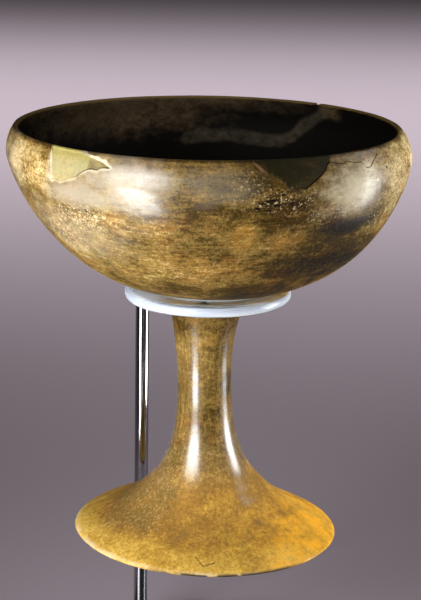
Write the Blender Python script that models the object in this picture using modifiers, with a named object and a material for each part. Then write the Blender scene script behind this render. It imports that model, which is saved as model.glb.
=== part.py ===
"""A burnished clay cup on a tall flared foot, held up by its display stand.

The cup is one hollow fired piece: a deep bowl with a turned-in lip, a waisted stem and a thin, flared
foot that is open underneath. It rests in a clear acrylic ring under the bowl. The ring's tail lies on
a steel post, and the post stands on a round steel base. The cup lifts out of the ring, and nothing
turns or slides.

Metres, +Z up. The origin is the middle of the base's underside. +X is the viewer's right, and +Y
points to the back.
"""

import math

import bmesh
import bpy
from mathutils import Vector
from mathutils.geometry import interpolate_bezier

# Driving dimensions of the cup. Heights of the cup's profile are measured down from its rim.
RIM_HEIGHT = 0.321
MOUTH_RADIUS = 0.1008
BELLY_RADIUS = 0.1055
BELLY_DROP = 0.0142
BOWL_DEPTH = 0.0729
BOWL_SHOULDER = 2.88
BOWL_FALL = 1.38
LIP_RADIUS = 0.0016
LIP_SET_BACK = 0.0010
WALL = 0.0042
FLOOR = 0.0065
FOOT_WALL = 0.0050

# The hollow curve between the bowl's underside and the stem begins at this radius.
NECK_START = 0.0272
NECK_REACH = 0.0040

# The stem and the top of the foot, as (radius, drop below the rim).
STEM_STATIONS = (
    (0.0222, 0.0930),
    (0.0190, 0.1000),
    (0.0167, 0.1100),
    (0.0149, 0.1250),
    (0.0146, 0.1400),
    (0.0148, 0.1520),
    (0.0161, 0.1640),
    (0.0193, 0.1760),
    (0.0246, 0.1873),
    (0.0322, 0.1967),
    (0.0411, 0.2048),
    (0.0514, 0.2112),
    (0.0617, 0.2164),
    (0.0684, 0.2200),
)
FOOT_EDGE_RADIUS = 0.0712
FOOT_EDGE_DROP = 0.2223
FOOT_STAND_RADIUS = 0.0668
FOOT_STAND_WIDTH = 0.0015
FOOT_DROP = 0.2242
HOLLOW_TOP_DROP = 0.1540
HOLLOW_MOUTH_RADIUS = 0.0620
HOLLOW_MOUTH_DROP = 0.2220
FOOT_EDGE_ROUND = 0.0008

# The cup was raised by hand. Its middle wanders sideways as it goes down, and its foot dips to the right.
AXIS_WANDER = (
    (0.000, -0.0029),
    (0.040, -0.0005),
    (0.080, 0.0008),
    (0.105, -0.0026),
    (0.140, -0.0025),
    (0.223, -0.0008),
)
FOOT_DIP = 0.0238
FOOT_DIP_FROM = 0.0200
FOOT_DIP_FULL = 0.0700
FOOT_BEGINS_DROP = 0.1400

# The display stand.
GAP = 0.0003
RING_CENTRE_X = -0.0015
RING_RADIUS = 0.0443
RING_BORE_RADIUS = 0.0287
RING_THICKNESS = 0.0063
RING_TOP_DROP = 0.0866
RING_EDGE_ROUND = 0.0030
TAIL_HALF_WIDTH = 0.0080
TAIL_FILLET = 0.0100
POST_RADIUS = 0.0040
POST_X = -0.0393
POST_Y = 0.0820
POST_CHAMFER = 0.0005
BASE_RADIUS = 0.1040
BASE_THICKNESS = 0.0080
BASE_EDGE_ROUND = 0.0012

# How finely each round shape is cut.
CUP_SEGMENTS = 60
INSIDE_STEPS = 10
OUTSIDE_STEPS = 13
UNDER_LIP = (0.3, 0.6)
LIP_STEPS = 4
NECK_STEPS = 3
HOLLOW_TOP_STEPS = 4
RING_SEGMENTS = 48
RING_EDGE_STEPS = 3
FILLET_STEPS = 4
TAIL_END_STEPS = 10
POST_SEGMENTS = 24
BASE_SEGMENTS = 60
SMOOTH_BELOW = math.radians(35)
RIM_ANGLE = math.radians(60)

CLAY_COLOUR = (0.30, 0.19, 0.08, 1)
ACRYLIC_COLOUR = (0.86, 0.90, 0.95, 1)
STEEL_COLOUR = (0.62, 0.62, 0.64, 1)
BASE_COLOUR = (0.40, 0.40, 0.42, 1)


def clear_scene():
    for thing in list(bpy.data.objects):
        bpy.data.objects.remove(thing, do_unlink=True)


def make_collection(name):
    collection = bpy.data.collections.new(name)
    bpy.context.scene.collection.children.link(collection)
    return collection


def make_material(name, colour, roughness, metallic=0.0, transmission=0.0):
    material = bpy.data.materials.new(name)
    material.use_nodes = True
    shader = material.node_tree.nodes["Principled BSDF"]
    shader.inputs["Base Color"].default_value = colour
    shader.inputs["Roughness"].default_value = roughness
    shader.inputs["Metallic"].default_value = metallic
    shader.inputs["Transmission Weight"].default_value = transmission
    material.diffuse_color = colour
    return material


def place(name, mesh, collection, material):
    """Adds a mesh object, with its material and smooth shading on its round faces."""
    thing = bpy.data.objects.new(name, mesh)
    collection.objects.link(thing)
    mesh.materials.append(material)
    mesh.shade_smooth()
    mesh.set_sharp_from_angle(angle=SMOOTH_BELOW)
    return thing


def arc(centre, radius, start, end, steps):
    """Points on an arc, with its angles in degrees and both ends included."""
    angles = [math.radians(start + (end - start) * i / steps) for i in range(steps + 1)]
    return [(centre[0] + radius * math.cos(a), centre[1] + radius * math.sin(a)) for a in angles]


def between(stations, at):
    """Reads a smooth value out of (position, value) stations, each passed at its neighbours' slope."""
    at = min(max(at, stations[0][0]), stations[-1][0])
    padded = [stations[0], *stations, stations[-1]]
    slopes = [(after[1] - before[1]) / (after[0] - before[0]) for before, after in zip(padded, padded[2:])]
    for (start, low), (end, high), leave, arrive in zip(stations, stations[1:], slopes, slopes[1:]):
        if at <= end:
            break
    span = end - start
    share = (at - start) / span
    rise = share * share * (3 - 2 * share)
    early = share * (1 - share) ** 2 * span * leave
    late = share * share * (1 - share) * span * arrive
    return low + (high - low) * rise + early - late


def bowl_side(radius, depth, share):
    """A point on the bowl's side. share is 0 at the belly and 1 at the middle of the bottom."""
    angle = share * math.pi / 2
    out = max(math.cos(angle), 0.0) ** (2 / BOWL_SHOULDER)
    down = math.sin(angle) ** (2 / BOWL_FALL)
    return radius * out, -BELLY_DROP - depth * down


def turned_in(radius, drop):
    """The wall's radius above the belly, where it turns in towards the lip."""
    rise = (BELLY_DROP - drop) / BELLY_DROP
    return radius - (BELLY_RADIUS - MOUTH_RADIUS) * rise * rise


def under_lip(radius):
    """The wall between the lip and the belly, going down."""
    drops = [BELLY_DROP * share for share in UNDER_LIP]
    return [(turned_in(radius, drop), -drop) for drop in drops]


def bowl_inside():
    """From the middle of the bowl's floor up to just under the lip."""
    inner_radius = BELLY_RADIUS - WALL
    shares = [1 - i / INSIDE_STEPS for i in range(INSIDE_STEPS + 1)]
    side = [bowl_side(inner_radius, BOWL_DEPTH - FLOOR, share) for share in shares]
    return side + under_lip(inner_radius)[::-1]


def lip():
    """The rounded lip, from its inner side over its crest to its outer side."""
    centre = (MOUTH_RADIUS - LIP_SET_BACK, -LIP_RADIUS)
    return arc(centre, LIP_RADIUS, 190, 30, LIP_STEPS)


def bowl_outside():
    """From under the lip over the belly and down to where the stem begins."""
    side = [bowl_side(BELLY_RADIUS, BOWL_DEPTH, i / OUTSIDE_STEPS) for i in range(OUTSIDE_STEPS)]
    return under_lip(BELLY_RADIUS) + [(radius, height) for radius, height in side if radius > NECK_START]


def neck():
    """The hollow curve from the bowl's underside into the stem."""
    (stem_radius, stem_drop), (next_radius, next_drop) = STEM_STATIONS[:2]
    share = math.acos((NECK_START / BELLY_RADIUS) ** (BOWL_SHOULDER / 2)) / (math.pi / 2)
    start = Vector(bowl_side(BELLY_RADIUS, BOWL_DEPTH, share))
    end = Vector((stem_radius, -stem_drop))
    down_the_stem = (Vector((next_radius, -next_drop)) - end).normalized()
    leave = start - Vector((NECK_REACH, 0))
    arrive = end - down_the_stem * NECK_REACH / 2
    return [(p.x, p.y) for p in interpolate_bezier(start, leave, arrive, end, NECK_STEPS + 1)[:-1]]


def stem_and_foot():
    """Down the stem, out over the foot and round its edge to the ring that it stands on."""
    stations = [(radius, -drop) for radius, drop in STEM_STATIONS]
    edge = [
        (FOOT_EDGE_RADIUS, -FOOT_EDGE_DROP),
        (FOOT_EDGE_RADIUS - FOOT_EDGE_ROUND, -FOOT_EDGE_DROP - FOOT_EDGE_ROUND),
        (FOOT_STAND_RADIUS, -FOOT_DROP),
    ]
    return stations + edge


def parallel_wall(outline, thickness):
    """Points one wall's thickness inside an outline that runs down, one for each of its stretches."""
    wall = []
    for start, end in zip(outline, outline[1:]):
        start, end = Vector(start), Vector(end)
        along = (end - start).normalized()
        inward = Vector((along.y, -along.x))
        wall.append(tuple((start + end) / 2 + inward * thickness))
    return wall


def foot_hollow():
    """The open hollow under the foot, from its mouth up to its rounded top on the axis."""
    outside = [(radius, -drop) for radius, drop in STEM_STATIONS if drop > HOLLOW_TOP_DROP + FOOT_WALL]
    widest = HOLLOW_MOUTH_RADIUS - FOOT_WALL / 2
    wall = [point for point in parallel_wall(outside, FOOT_WALL) if point[0] < widest]
    top_radius, top_height = wall[0]
    crown_height = -HOLLOW_TOP_DROP - top_height
    turns = [math.pi / 2 * i / HOLLOW_TOP_STEPS for i in range(1, HOLLOW_TOP_STEPS)]
    crown = [(top_radius * math.cos(a), top_height + crown_height * math.sin(a)) for a in turns]
    stand_inside = (FOOT_STAND_RADIUS - FOOT_STAND_WIDTH, -FOOT_DROP)
    mouth = [stand_inside, (HOLLOW_MOUTH_RADIUS, -HOLLOW_MOUTH_DROP)]
    return mouth + wall[::-1] + crown + [(0.0, -HOLLOW_TOP_DROP)]


def cup_profile():
    """The cup's half section, from the middle of the bowl's floor round to the top of the foot's hollow."""
    return bowl_inside() + lip() + bowl_outside() + neck() + stem_and_foot() + foot_hollow()


def turn(name, profile, segments):
    """Turns a half section about the Z axis with a Screw, and returns the closed mesh."""
    outline = bpy.data.meshes.new(name + "_section")
    edges = [(i, i + 1) for i in range(len(profile) - 1)]
    outline.from_pydata([(radius, 0, height) for radius, height in profile], edges, [])
    guide = bpy.data.objects.new(name + "_section", outline)
    bpy.context.scene.collection.objects.link(guide)
    screw = guide.modifiers.new("turn", "SCREW")
    screw.axis = "Z"
    screw.angle = math.tau
    screw.steps = segments
    screw.render_steps = segments
    screw.use_merge_vertices = True
    screw.merge_threshold = 0.00005
    screw.use_smooth_shade = True
    seen = guide.evaluated_get(bpy.context.evaluated_depsgraph_get())
    mesh = bpy.data.meshes.new_from_object(seen)
    mesh.name = name
    bpy.data.objects.remove(guide)
    bpy.data.meshes.remove(outline)
    return mesh


def settle_by_hand(mesh):
    """Gives the turned cup its wandering axis and its dipping foot, and lifts it to its height."""
    for vertex in mesh.vertices:
        drop = -vertex.co.z
        radius = math.hypot(vertex.co.x, vertex.co.y)
        if drop > FOOT_BEGINS_DROP:
            share = (radius - FOOT_DIP_FROM) / (FOOT_DIP_FULL - FOOT_DIP_FROM)
            vertex.co.z -= FOOT_DIP * vertex.co.x * min(max(share, 0.0), 1.0)
        vertex.co.x += between(AXIS_WANDER, drop)
        vertex.co.z += RIM_HEIGHT


def make_cup(collection):
    mesh = turn("pottery_cup", cup_profile(), CUP_SEGMENTS)
    settle_by_hand(mesh)
    clay = make_material("burnished_clay", CLAY_COLOUR, 0.35)
    return place("pottery_cup", mesh, collection, clay)


def ring_outline():
    """The ring's outer outline with its tail, seen from above, going round anticlockwise."""
    tail_length = math.hypot(POST_X - RING_CENTRE_X, POST_Y)
    side = TAIL_HALF_WIDTH + TAIL_FILLET
    fillet_u = math.sqrt((RING_RADIUS + TAIL_FILLET) ** 2 - side**2)
    meet = math.degrees(math.atan2(side, fillet_u))
    ring = arc((0, 0), RING_RADIUS, meet, 360 - meet, RING_SEGMENTS)
    enter = arc((fillet_u, -side), TAIL_FILLET, 180 - meet, 90, FILLET_STEPS)[1:]
    end = arc((tail_length, 0), TAIL_HALF_WIDTH, -90, 90, TAIL_END_STEPS)
    leave = arc((fillet_u, side), TAIL_FILLET, 270, 180 + meet, FILLET_STEPS)[:-1]
    towards = math.atan2(POST_Y, POST_X - RING_CENTRE_X)
    cos, sin = math.cos(towards), math.sin(towards)
    outline = ring + enter + end + leave
    return [(RING_CENTRE_X + u * cos - v * sin, u * sin + v * cos) for u, v in outline]


def make_ring(collection, cutters):
    """A clear plate with a round edge, bored for the stem, whose tail reaches back to the post."""
    top = RIM_HEIGHT - RING_TOP_DROP
    bm = bmesh.new()
    rim = [bm.verts.new((x, y, top - RING_THICKNESS)) for x, y in ring_outline()]
    sheet = bm.faces.new(rim)
    raised = bmesh.ops.extrude_face_region(bm, geom=[sheet])["geom"]
    lifted = [v for v in raised if isinstance(v, bmesh.types.BMVert)]
    bmesh.ops.translate(bm, verts=lifted, vec=(0, 0, RING_THICKNESS))
    bmesh.ops.recalc_face_normals(bm, faces=bm.faces)
    mesh = bpy.data.meshes.new("support_ring")
    bm.to_mesh(mesh)
    bm.free()
    acrylic = make_material("clear_acrylic", ACRYLIC_COLOUR, 0.05, transmission=0.9)
    ring = place("support_ring", mesh, collection, acrylic)
    edge = ring.modifiers.new("round_edge", "BEVEL")
    edge.width = RING_EDGE_ROUND
    edge.segments = RING_EDGE_STEPS
    edge.limit_method = "ANGLE"
    edge.angle_limit = RIM_ANGLE
    hole = ring.modifiers.new("bore", "BOOLEAN")
    hole.operation = "DIFFERENCE"
    hole.solver = "EXACT"
    hole.object = make_bore_cutter(cutters, top - RING_THICKNESS / 2)
    return ring


def make_bore_cutter(cutters, height):
    reach = RING_THICKNESS * 1.5
    mesh = make_bar("ring_bore_cutter", RING_BORE_RADIUS, height - reach, height + reach, RING_SEGMENTS)
    cutter = bpy.data.objects.new("ring_bore_cutter", mesh)
    cutter.location = (RING_CENTRE_X, 0, 0)
    cutter.hide_render = True
    cutter.display_type = "WIRE"
    cutters.objects.link(cutter)
    return cutter


def make_bar(name, radius, bottom, top, segments):
    """The mesh of an upright round bar or plate."""
    bm = bmesh.new()
    bmesh.ops.create_cone(
        bm, cap_ends=True, segments=segments, radius1=radius, radius2=radius, depth=top - bottom
    )
    bmesh.ops.translate(bm, verts=bm.verts, vec=(0, 0, (top + bottom) / 2))
    mesh = bpy.data.meshes.new(name)
    bm.to_mesh(mesh)
    bm.free()
    return mesh


def soften_rims(thing, width):
    soften = thing.modifiers.new("soft_rims", "BEVEL")
    soften.width = width
    soften.limit_method = "ANGLE"
    soften.angle_limit = RIM_ANGLE


def make_post(collection):
    bottom = BASE_THICKNESS + GAP
    top = RIM_HEIGHT - RING_TOP_DROP - RING_THICKNESS - GAP
    steel = make_material("polished_steel", STEEL_COLOUR, 0.12, metallic=1.0)
    bar = make_bar("support_post", POST_RADIUS, bottom, top, POST_SEGMENTS)
    post = place("support_post", bar, collection, steel)
    post.location = (POST_X, POST_Y, 0)
    soften_rims(post, POST_CHAMFER)
    return post


def make_base(collection):
    steel = make_material("satin_steel", BASE_COLOUR, 0.35, metallic=1.0)
    plate = make_bar("stand_base", BASE_RADIUS, 0, BASE_THICKNESS, BASE_SEGMENTS)
    base = place("stand_base", plate, collection, steel)
    soften_rims(base, BASE_EDGE_ROUND)
    return base


def main():
    clear_scene()
    cup = make_collection("pottery_cup_on_stand")
    cutters = make_collection("cutters")
    make_cup(cup)
    make_ring(cup, cutters)
    make_post(cup)
    make_base(cup)


main()
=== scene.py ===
"""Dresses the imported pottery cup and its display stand, as a Blender add-on that is run as a script.

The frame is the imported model: its nodes give every place and size here, in metres, with +Z up, +X to the
viewer's right and +Y to the back. Each operator makes one piece or group of pieces.
"""

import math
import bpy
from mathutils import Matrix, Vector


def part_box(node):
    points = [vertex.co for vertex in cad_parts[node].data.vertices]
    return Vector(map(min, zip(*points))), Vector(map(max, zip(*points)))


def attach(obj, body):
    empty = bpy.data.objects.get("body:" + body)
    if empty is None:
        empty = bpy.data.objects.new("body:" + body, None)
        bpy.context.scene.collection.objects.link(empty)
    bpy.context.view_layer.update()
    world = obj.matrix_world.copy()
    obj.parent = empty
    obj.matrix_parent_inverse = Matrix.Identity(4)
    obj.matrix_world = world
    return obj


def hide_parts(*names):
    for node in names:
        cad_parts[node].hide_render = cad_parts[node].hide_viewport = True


bl_info = {
    "name": "Burnished Cup on a Display Stand",
    "version": (1, 0, 0),
    "blender": (4, 5, 0),
    "location": "View3D > Sidebar > Cup",
    "description": "Makes a worn, burnished clay cup, its clear ring, post and base, and a plain studio",
    "category": "Add Mesh",
}

from collections import namedtuple

import bmesh
import bpy
from bpy.props import FloatProperty, FloatVectorProperty, IntProperty, PointerProperty
from mathutils import Matrix, Vector, noise
from mathutils.geometry import intersect_point_line

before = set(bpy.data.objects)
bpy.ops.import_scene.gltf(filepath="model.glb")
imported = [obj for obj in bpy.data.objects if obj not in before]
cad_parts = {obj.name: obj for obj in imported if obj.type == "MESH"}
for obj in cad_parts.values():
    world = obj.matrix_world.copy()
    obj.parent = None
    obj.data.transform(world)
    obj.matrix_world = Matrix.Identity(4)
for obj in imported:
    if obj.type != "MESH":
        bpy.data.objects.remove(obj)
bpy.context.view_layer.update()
BODY = "root"
MM = 0.001

CUP_LOW, CUP_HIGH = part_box("pottery_cup")
RING_LOW, RING_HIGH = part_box("support_ring")
POST_LOW, POST_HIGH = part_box("support_post")
BASE_LOW, BASE_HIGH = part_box("stand_base")
RIM = CUP_HIGH.z
BOWL_MM = 105.0  # the bowl's radius, in millimetres, for lengths round its wall
WELD = 0.005 * MM
LOOSE_WELD = 0.01 * MM
POLE_EDGES = 20  # a pole of the solid cup joins more edges than this
NOWHERE = 1e9

# The cup's rows are finest at the lip, and coarser on the stem than on the bowl's wall.
LIP_RINGS = 4
LIP_ROW = 0.6 * MM
STEM_SPAN = (0.088, 0.190)
STEM_COARSER = 1.6

# Marks for the stretches of the cup's section past the lip, and its material slots.
OUTER_RUN, UNDER_RUN = 1.0, 1000.0
OUTSIDE, INSIDE, UNDER = range(3)

# Where marks can lie, in millimetres below the rim or round the wall from the front, and the rim's notch.
MARKED_DROP = 27.0
STEM_DROP = 86.0
FOOT_MARKS_DROP = 212.0
SCRATCH_DROP = 214.0
LEFT_MARKS = (-100.0, -40.0)
RIGHT_MARKS = (12.0, 112.0)
NOTCH_DEGREES = 142.0

# The stand: steps round its bar and its plate, its sharp edges, and what counts as the ring's flat top.
POST_STEPS = 96
BASE_STEPS = 180
SHARP_ANGLE = math.radians(35)
RIM_ANGLE = math.radians(60)
FLAT_TOP = 0.75
BORE_STEPS = 4

# The studio, in metres, and the width of the camera's film in millimetres.
FLOOR_REACH = 12.0
FILM_WIDTH = 36.0
SKY_COLOUR = (0.80, 0.78, 0.79, 1.0)

# One level ring of the turned cup: how far out it is, where its middle is, how high, and how it dips.
Ring = namedtuple("Ring", "radius middle height dip")

# A stain, cloud or bright patch on the bowl: its middle in degrees round from the front, and in millimetres
# below the rim, its half width and half height in millimetres, and how strong it is.
Cloud = namedtuple("Cloud", "turn drop wide tall strength")

DARK_CLOUDS = (
    Cloud(42, 37, 24, 6, 1.00),
    Cloud(42, 58, 50, 17, 0.95),
    Cloud(22, 73, 44, 10, 0.75),
    Cloud(3, 25, 20, 9, 0.35),
    Cloud(8, 10, 26, 12, 0.45),
    Cloud(20, 26, 20, 13, 0.45),
    Cloud(-12, 70, 26, 7, 0.35),
    Cloud(12, 4, 5, 4, 0.60),
    Cloud(120, 40, 60, 22, 0.50),
    Cloud(-130, 55, 45, 20, 0.40),
)
GOLD_CLOUDS = (
    Cloud(-62, 12, 24, 16, 1.10),
    Cloud(-42, 46, 45, 15, 0.22),
    Cloud(-4, 60, 34, 9, 0.30),
    Cloud(-22, 36, 26, 9, 0.30),
    Cloud(9.5, 37, 5, 9, 0.30),
    Cloud(22, 40, 9, 7, 0.30),
    Cloud(66, 16, 22, 21, 1.20),
    Cloud(80, 8, 28, 14, 1.20),
    Cloud(48, 8, 7, 5, 1.10),
    Cloud(43, 18, 22, 14, 0.90),
    Cloud(46, 2, 12, 3, 0.20),
    Cloud(165, 30, 50, 20, 0.35),
)
# Grey-lilac patches on the slip. The one at 43 degrees right of the front is partly a painted reflection:
# the broad sheen of the lights on that shoulder, painted as grey.
GREY_CLOUDS = (
    Cloud(-37, 21, 28, 8, 0.90),
    Cloud(-26, 10, 30, 11, 0.75),
    Cloud(2, 12, 20, 10, 0.30),
    Cloud(43, 17, 23, 14, 0.80),
    Cloud(-46, 42, 42, 17, 0.32),
    Cloud(-72, 14, 18, 16, 0.30),
    Cloud(-100, 30, 30, 12, 0.40),
)
# Where the fire left the slip amber.
AMBER_CLOUDS = (
    Cloud(9, 38, 7, 10, 0.70),
    Cloud(22, 42, 12, 8, 0.70),
    Cloud(-4, 56, 34, 10, 0.30),
    Cloud(38, 70, 34, 9, 0.40),
    Cloud(-60, 12, 14, 10, 0.30),
    Cloud(140, 50, 50, 16, 0.40),
)
# Dark stains on the stem. Their widths are as long as they would be on the bowl.
STEM_STAINS = (
    Cloud(0, 105, 400, 6, 0.45),
    Cloud(22, 121, 55, 6, 0.50),
    Cloud(56, 138, 50, 9, 0.85),
    Cloud(8, 156, 52, 7, 0.42),
    Cloud(-150, 140, 90, 10, 0.60),
)
# Where the wall is burnished bright.
BURNISHED = (
    Cloud(-20, 17, 38, 18, 1.00),
    Cloud(49, 25, 11, 12, 0.80),
    Cloud(150, 20, 60, 14, 0.50),
    Cloud(-115, 20, 40, 14, 0.50),
)
# Chalky wear, under the hairline crack and along the plaster's left edge.
CHALKY = (
    Cloud(47, 8.5, 5.5, 3.5, 0.90),
    Cloud(-47.5, 9, 3, 8, 0.55),
)
RED_STREAK = ((11.0, 1.0), (13.2, 4.3), (15.3, 8.0))
# A painted reflection on the smoked inside: a soft grey band across the bowl's far wall, where the lights
# show in it, as (degrees round from the back, millimetres below the rim).
SHEEN_BAND = (
    (-9, 24.5), (-3, 22.6), (6, 22.4), (14, 23.4), (19, 24.0), (24, 22.9), (28, 19.3), (31, 13.5),
    (36, 8.2), (39, 5.0),
)
SCUFFS = (
    Cloud(-40, 33, 22, 8, 1.45),
    Cloud(-52, 44, 16, 9, 1.10),
    Cloud(19, 18, 20, 8, 0.90),
    Cloud(9, 10, 9, 5, 0.60),
    Cloud(34, 27, 16, 6, 0.70),
    Cloud(56, 34, 9, 8, 0.95),
    Cloud(66, 24, 9, 12, 0.90),
    Cloud(74, 8, 10, 9, 0.80),
    Cloud(47.5, 9, 6, 5, 1.60),
)
# Brown wear on the bowl's smoked inside. Here the turn is measured from the back, and + is to the right.
WORN_CLOUDS = (
    Cloud(-34, 9, 66, 13, 0.90),
    Cloud(-26, 2, 95, 8, 0.80),
    Cloud(42, 4, 8, 5, 0.80),
    Cloud(150, 18, 60, 10, 0.40),
    Cloud(0, 74, 400, 18, 0.55),
)

# Outlines on the bowl's wall, as (degrees round from the front, millimetres below the rim).
PLASTER_FILL = (
    (-48.5, -2.0), (-46.4, 6.3), (-45.7, 14.6), (-46.6, 15.8), (-44.4, 15.2), (-43.4, 15.9),
    (-39.5, 13.6), (-37.6, 12.3), (-35.9, 10.5), (-34.2, 8.4), (-32.6, 7.2), (-30.2, 7.6), (-29.3, 6.3),
    (-26.5, 5.9), (-28.5, 3.7), (-30.7, 2.8), (-32.9, 2.1), (-36.5, 0.6), (-37.0, -2.0),
)
CRACK = (
    (26.2, 14.3), (27.9, 11.9), (30.6, 9.1), (32.7, 6.3), (34.1, 3.4), (34.9, 2.6),
)
LEFT_OF_CRACK = (
    (13.5, -2.0), (14.5, 0.5), (17.0, 5.7), (19.1, 8.9), (21.4, 12.4), (22.1, 14.6), (24.0, 15.0),
)
DARK_FILL = LEFT_OF_CRACK + CRACK[:-1] + ((35.5, 1.5), (36.5, -2.0))
HAIRLINE = (
    (34.9, 2.6), (38.9, 4.2), (40.7, 3.3), (43.7, 4.5), (46.0, 4.6), (47.6, 7.8), (49.3, 7.6),
    (51.7, 4.9), (53.9, 3.0),
)
UPPER_FILL = HAIRLINE + ((54.5, -2.0), (35.0, -2.0))
# Short burnt-out scars, as (degrees, millimetres below the rim, half length, half height in millimetres).
SCARS = (
    (13.8, 20.2, 3.0, 0.6), (16.4, 18.9, 3.2, 0.8), (18.0, 18.6, 2.2, 0.7), (18.3, 21.2, 2.8, 0.7),
    (15.6, 21.4, 2.0, 0.6), (19.9, 15.9, 1.6, 0.8), (12.8, 22.3, 2.0, 0.5), (22.6, 20.4, 2.4, 0.5),
    (15.8, 23.6, 2.6, 0.5), (56.8, 9.5, 0.6, 0.5),
)
# A bent scratch near the foot's front edge, in plan, in millimetres.
FOOT_SCRATCH = ((-4.4, -61.2), (-2.2, -64.2), (-0.4, -66.6), (2.0, -65.6), (5.2, -64.4))


def length_property(name, description, millimetres):
    return FloatProperty(
        name=name, description=description, default=millimetres * MM, unit="LENGTH", precision=5
    )


def angle_property(name, description, degrees):
    return FloatProperty(
        name=name, description=description, default=math.radians(degrees), subtype="ANGLE", unit="ROTATION"
    )


def light_property(name, description, default):
    return FloatProperty(name=name, description=description, default=default, min=0.0)


class CupSizes(bpy.types.PropertyGroup):
    """How finely the cup is made, and how deep its marks are."""

    columns: IntProperty(name="Columns", description="Steps in one turn of the cup", default=240, min=24)
    fine_row: length_property("Fine row", "Row height on the bowl's wall", 1.5)
    coarse_row: length_property("Coarse row", "Row height inside and below", 3.0)
    wobble: length_property("Wobble", "Unevenness left by the hand", 0.35)
    strokes: length_property("Strokes", "Depth of the burnishing strokes", 0.07)
    fill_step: length_property("Fill step", "How far the fills lie below the slip", 0.35)
    crack_depth: length_property("Crack depth", "Depth of the cracks", 0.7)
    crack_width: length_property("Crack width", "Half width of the cracks", 0.32)
    notch_turn: angle_property("Notch turn", "Where the rim's notch is, from the front", NOTCH_DEGREES)
    notch_depth: length_property("Notch depth", "Depth of the notch in the rim", 1.6)


def colour_property(name, description, default):
    return FloatVectorProperty(
        name=name, description=description, default=default, subtype="COLOR", size=3, min=0.0, max=1.0
    )


class Colours(bpy.types.PropertyGroup):
    """The colours of the clay, the fills, the stand and the floor."""

    # Soot also paints the shadow line under the plaster's step and the shadow streak in the clear ring's
    # painted reflection.
    soot: colour_property("Soot", "Darkest fire clouds and the scars", (0.010, 0.006, 0.003))
    umber: colour_property("Umber", "Dark brown slip", (0.045, 0.025, 0.004))
    tan: colour_property("Tan", "The slip's middle brown", (0.165, 0.101, 0.024))
    gold: colour_property("Gold", "Worn golden slip", (0.362, 0.268, 0.110))
    cream: colour_property("Cream", "Clay that shows where the slip is gone", (0.640, 0.530, 0.330))
    rust: colour_property("Rust", "Reddish cast of the slip", (0.740, 0.420, 0.180))
    moss: colour_property("Moss", "Greenish cast of the slip", (0.400, 0.460, 0.300))
    # Painted reflection: the clay as it shows in the clear ring's top, painted onto the ring.
    mirrored: colour_property("Mirrored", "The clay seen in the clear ring", (0.700, 0.510, 0.230))
    # Painted reflection: the grey of the soft band of light on the inside's far wall.
    inside_sheen: colour_property("Ash", "The grey band on the smoked inside", (0.115, 0.090, 0.056))
    blush: colour_property("Blush", "The reddish streak beside the dark fill", (0.300, 0.160, 0.085))
    smoke: colour_property("Smoke", "Brown wear on the smoked inside", (0.088, 0.058, 0.030))
    ochre_dark: colour_property("Dark ochre", "The foot's darker mottles", (0.270, 0.132, 0.022))
    ochre: colour_property("Ochre", "The foot's yellow-brown", (0.450, 0.258, 0.036))
    honey: colour_property("Honey", "The foot's light patches", (0.720, 0.465, 0.095))
    orange: colour_property("Orange", "The foot's warm side", (0.880, 0.400, 0.012))
    # Grey also paints part of a broad reflection on the bowl's right shoulder.
    grey: colour_property("Grey", "Smooth lilac-grey slip", (0.250, 0.218, 0.168))
    chalk: colour_property("Chalk", "Broken edges of the slip", (0.560, 0.490, 0.340))
    plaster: colour_property("Plaster", "The pale fill below the rim", (0.255, 0.226, 0.110))
    yellow: colour_property("Yellow", "The fill where it has yellowed", (0.245, 0.216, 0.048))
    olive: colour_property("Olive", "The fill's toned tip", (0.100, 0.083, 0.036))
    dark_fill: colour_property("Dark fill", "The toned fill right of the front", (0.011, 0.009, 0.002))
    # Smoked black, made darker than soot as painted shade for the bowl's deep inside.
    inside: colour_property("Inside", "The smoked inside of the bowl", (0.003, 0.0025, 0.002))
    acrylic: colour_property("Acrylic", "The clear ring", (0.960, 0.980, 1.000))
    # The frosted colours also colour the ring's painted glow; the lighter one also paints the highlight
    # line along the ring's bore.
    frosted: colour_property("Frosted", "The ring's frosted edge", (0.380, 0.425, 0.510))
    pearl_and_highlight: colour_property("Pearl", "The frosted edge's lighter streaks", (0.560, 0.590, 0.600))
    steel: colour_property("Steel", "The post", (0.420, 0.420, 0.440))
    plate: colour_property("Plate", "The base", (0.360, 0.360, 0.375))
    floor: colour_property("Floor", "The studio floor", (0.368, 0.308, 0.350))


class StandSizes(bpy.types.PropertyGroup):
    """How finely the stand's pieces are made."""

    ring_steps: IntProperty(
        name="Ring steps", description="Steps round the clear ring", default=360, min=90
    )
    edge_round: length_property("Edge round", "Rounding of the ring's outer edge", 3.0)
    bore_round: length_property("Bore round", "Rounding of the ring's bore", 2.0)
    tail_fillet: length_property("Tail fillet", "Hollow curve where the tail leaves the ring", 10.0)
    chamfer: length_property("Chamfer", "Softened rims of the post", 0.5)
    base_round: length_property("Base round", "Softened rims of the base", 1.2)


class StudioSizes(bpy.types.PropertyGroup):
    """Camera and lights."""

    eye: FloatVectorProperty(
        name="Eye",
        description="Where the camera is",
        default=(0.0, -0.9662, 0.4837),
        subtype="TRANSLATION",
        unit="LENGTH",
        size=3,
    )
    pitch: angle_property("Pitch", "The camera's turn up from looking straight down", 75.1)
    roll: angle_property("Roll", "The camera's lean", 1.0)
    lens: FloatProperty(name="Lens", description="Focal length in millimetres", default=112.5, min=1.0)
    left_power: light_property("Left power", "Left panel, in watts", 0.74)
    upper_power: light_property("Upper power", "Panel above the left one, in watts", 1.48)
    right_power: light_property("Right power", "Right panel, in watts", 0.66)
    far_power: light_property("Far power", "Panel above the right one, in watts", 0.30)
    back_power: light_property("Back power", "Panel over the floor behind, in watts", 41.0)
    sky: light_property("Sky", "Strength of the even light from all round", 0.07)


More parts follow.
